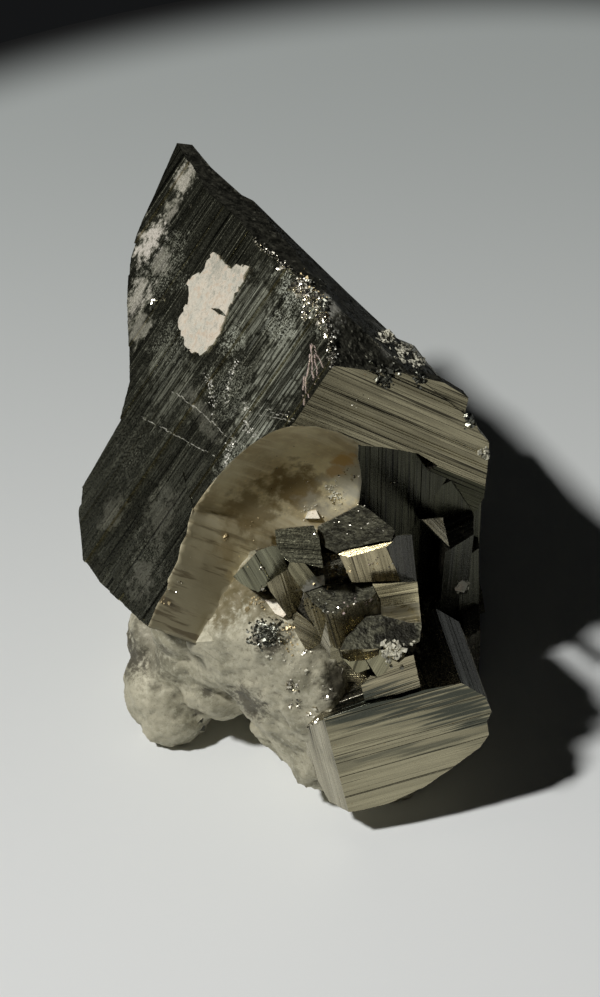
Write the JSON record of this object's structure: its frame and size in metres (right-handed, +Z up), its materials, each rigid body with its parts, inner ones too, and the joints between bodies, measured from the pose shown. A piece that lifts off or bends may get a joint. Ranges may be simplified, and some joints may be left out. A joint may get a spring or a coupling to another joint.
{
  "type": "pyrite crystal specimen",
  "caption": "Hand-sized pyrite specimen: a large striated crystal over a hollow full of small intergrown crystals, on a flat rough base.",
  "frame": {"origin": "on the surface it rests on, under the middle of the specimen's bounding box", "axes": "+Z up, -Y towards the viewer, who sees the hollow with the small crystals, +X to the viewer's right"},
  "size_m": [0.0428, 0.0586, 0.051],
  "materials": {
    "pyrite": "natural metallic crystal faces, pale brassy and striated, darker and granular on the rough mass"
  },
  "bodies": {
    "root": {"pyrite_cluster": "pyrite"}
  },
  "joints": []
}
